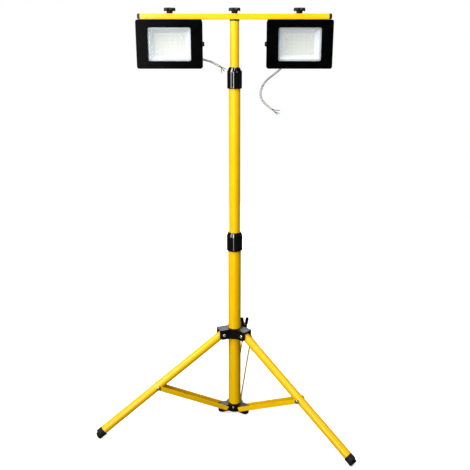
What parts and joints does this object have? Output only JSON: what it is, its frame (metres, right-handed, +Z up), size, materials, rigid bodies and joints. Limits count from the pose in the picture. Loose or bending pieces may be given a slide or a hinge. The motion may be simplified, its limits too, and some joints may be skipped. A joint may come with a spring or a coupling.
{
  "type": "twin floodlight on a telescopic tripod",
  "caption": "Telescopic tripod mast with folding braced legs and a crossbar that carries rectangular LED floodlights on tilting U-brackets.",
  "frame": {"origin": "on the floor, under the middle of the object's bounding box without the cords; the mast axis stands at x = 0.0369 m, y = -0.0726 m", "axes": "+Z up along the mast, +X along the crossbar, -Y the way the lamps face"},
  "size_m": [0.764, 0.7294, 1.2323],
  "materials": {
    "yellow_powder_coat": "gloss powder coat",
    "black_gloss_plastic": "glossy",
    "black_plastic": "satin",
    "black_rubber": "matt",
    "guide_plastic": "matt",
    "zinc_steel": "zinc plated",
    "black_powder_coat": "satin powder coat",
    "black_cast_aluminium": "black powder coat on a casting",
    "lamp_glass": "clear tempered glass",
    "reflector_sheet": "bright white-silver",
    "led_board": "white solder mask",
    "driver_potting": "matt",
    "cord_sheath": "satin",
    "core_insulation": "glossy"
  },
  "bodies": {
    "base": {"lower_tube": "yellow_powder_coat", "bottom_hub": "black_plastic", "bottom_hub_screws": "zinc_steel", "strut_pivot_pins": "yellow_powder_coat", "lower_lock_collet": "black_plastic"},
    "lower_lock": {"lower_lock_nut": "black_gloss_plastic"},
    "hub": {"sliding_hub": "black_plastic", "leg_pivot_pins": "zinc_steel"},
    "clamp_wing": {"clamp_wing_knob": "black_plastic", "clamp_screw": "zinc_steel"},
    "middle_section": {"middle_tube": "yellow_powder_coat", "middle_tube_bush": "guide_plastic", "upper_lock_collet": "black_plastic"},
    "upper_lock": {"upper_lock_nut": "black_gloss_plastic"},
    "top_section": {"top_tube": "yellow_powder_coat", "top_tube_bush": "guide_plastic", "mast_top_plug": "black_plastic"},
    "bar": {"crossbar": "yellow_powder_coat", "crossbar_end_plugs": "black_plastic"},
    "left_leg": {"leg_tube_left": "yellow_powder_coat", "foot_cap_left": "black_rubber"},
    "left_strut": {"strut_left": "yellow_powder_coat"},
    "right_leg": {"leg_tube_right": "yellow_powder_coat", "foot_cap_right": "black_rubber"},
    "right_strut": {"strut_right": "yellow_powder_coat"},
    "back_leg": {"leg_tube_back": "yellow_powder_coat", "foot_cap_back": "black_rubber"},
    "back_strut": {"strut_back": "yellow_powder_coat"},
    "left_knob": {"knob_left": "black_plastic", "knob_stud_left": "zinc_steel"},
    "middle_knob": {"knob_middle": "black_plastic", "knob_stud_middle": "zinc_steel"},
    "right_knob": {"knob_right": "black_plastic", "knob_stud_right": "zinc_steel"},
    "left_bracket": {"lamp_bracket_left": "black_powder_coat"},
    "left_lamp": {"lamp_housing_left": "black_cast_aluminium", "lamp_front_frame_left": "black_cast_aluminium", "lamp_gasket_left": "black_rubber", "lamp_glass_left": "lamp_glass", "lamp_reflector_left": "reflector_sheet", "led_board_left": "led_board", "lamp_driver_left": "driver_potting", "driver_cover_left": "black_cast_aluminium", "cable_gland_left": "black_plastic", "tilt_bolts_left": "zinc_steel", "lamp_cord_left": "cord_sheath", "cord_cores_left": "core_insulation"},
    "right_bracket": {"lamp_bracket_right": "black_powder_coat"},
    "right_lamp": {"lamp_housing_right": "black_cast_aluminium", "lamp_front_frame_right": "black_cast_aluminium", "lamp_gasket_right": "black_rubber", "lamp_glass_right": "lamp_glass", "lamp_reflector_right": "reflector_sheet", "led_board_right": "led_board", "lamp_driver_right": "driver_potting", "driver_cover_right": "black_cast_aluminium", "cable_gland_right": "black_plastic", "tilt_bolts_right": "zinc_steel", "lamp_cord_right": "cord_sheath", "cord_cores_right": "core_insulation"}
  },
  "joints": [
    {"name": "hub_slide", "type": "slide", "parent": "base", "child": "hub", "axis": [0, 0, 1], "range_m": [0, 0.24091]},
    {"name": "left_leg_fold", "type": "hinge", "parent": "hub", "child": "left_leg", "pos_m": [-0.00024, -0.08615, 0.2805], "axis": [0.342, -0.9397, 0], "range_deg": [0, 56.05]},
    {"name": "left_strut_fold", "type": "hinge", "parent": "base", "child": "left_strut", "pos_m": [0.00492, -0.08427, 0.0234], "axis": [-0.342, 0.9397, 0], "range_deg": [0, 60.62]},
    {"name": "right_leg_fold", "type": "hinge", "parent": "hub", "child": "right_leg", "pos_m": [0.06713, -0.09803, 0.2805], "axis": [0.6428, 0.766, 0], "range_deg": [0, 56.05]},
    {"name": "right_strut_fold", "type": "hinge", "parent": "base", "child": "right_strut", "pos_m": [0.06292, -0.0945, 0.0234], "axis": [-0.6428, -0.766, 0], "range_deg": [0, 60.62]},
    {"name": "back_leg_fold", "type": "hinge", "parent": "hub", "child": "back_leg", "pos_m": [0.04373, -0.03374, 0.2805], "axis": [-0.9848, 0.1736, 0], "range_deg": [0, 56.05]},
    {"name": "back_strut_fold", "type": "hinge", "parent": "base", "child": "back_strut", "pos_m": [0.04278, -0.03916, 0.0234], "axis": [0.9848, -0.1736, 0], "range_deg": [0, 60.62]},
    {"name": "clamp_wing_turn", "type": "hinge", "parent": "hub", "child": "clamp_wing", "pos_m": [0.06802, -0.05001, 0.29], "axis": [0, 0, 1], "range_deg": [0, 360]},
    {"name": "lower_lock_turn", "type": "hinge", "parent": "base", "child": "lower_lock", "pos_m": [0.03687, -0.07265, 0.578], "axis": [0, 0, 1], "range_deg": [0, 90]},
    {"name": "middle_section_slide", "type": "slide", "parent": "base", "child": "middle_section", "axis": [0, 0, 1], "range_m": [-0.405, 0]},
    {"name": "upper_lock_turn", "type": "hinge", "parent": "middle_section", "child": "upper_lock", "pos_m": [0.03687, -0.07265, 1.05], "axis": [0, 0, 1], "range_deg": [0, 90]},
    {"name": "top_section_slide", "type": "slide", "parent": "middle_section", "child": "top_section", "axis": [0, 0, 1], "range_m": [-0.115, 0.29]},
    {"name": "crossbar_swivel", "type": "hinge", "parent": "top_section", "child": "bar", "pos_m": [0.03687, -0.07265, 1.21], "axis": [0, 0, 1], "range_deg": [-180, 180]},
    {"name": "left_knob_turn", "type": "hinge", "parent": "bar", "child": "left_knob", "pos_m": [-0.13653, -0.07265, 1.225], "axis": [0, 0, 1], "range_deg": [0, 720]},
    {"name": "middle_knob_turn", "type": "hinge", "parent": "bar", "child": "middle_knob", "pos_m": [0.03687, -0.07265, 1.225], "axis": [0, 0, 1], "range_deg": [0, 720]},
    {"name": "right_knob_turn", "type": "hinge", "parent": "bar", "child": "right_knob", "pos_m": [0.21027, -0.07265, 1.225], "axis": [0, 0, 1], "range_deg": [0, 720]},
    {"name": "left_bracket_pan", "type": "hinge", "parent": "bar", "child": "left_bracket", "pos_m": [-0.13653, -0.07265, 1.2], "axis": [0, 0, 1], "range_deg": [-90, 90]},
    {"name": "left_lamp_tilt", "type": "hinge", "parent": "left_bracket", "child": "left_lamp", "pos_m": [-0.13653, -0.07265, 1.1388], "axis": [1, 0, 0], "range_deg": [0, 90]},
    {"name": "right_bracket_pan", "type": "hinge", "parent": "bar", "child": "right_bracket", "pos_m": [0.21027, -0.07265, 1.2], "axis": [0, 0, 1], "range_deg": [-90, 90]},
    {"name": "right_lamp_tilt", "type": "hinge", "parent": "right_bracket", "child": "right_lamp", "pos_m": [0.21027, -0.07265, 1.1388], "axis": [1, 0, 0], "range_deg": [0, 90]}
  ],
  "couplings": [
    {"joint": "left_leg_fold", "follows": "hub_slide", "rad_per_m": 4.0571},
    {"joint": "left_strut_fold", "follows": "hub_slide", "rad_per_m": 4.3882},
    {"joint": "right_leg_fold", "follows": "hub_slide", "rad_per_m": 4.0571},
    {"joint": "right_strut_fold", "follows": "hub_slide", "rad_per_m": 4.3882},
    {"joint": "back_leg_fold", "follows": "hub_slide", "rad_per_m": 4.0571},
    {"joint": "back_strut_fold", "follows": "hub_slide", "rad_per_m": 4.3882}
  ]
}
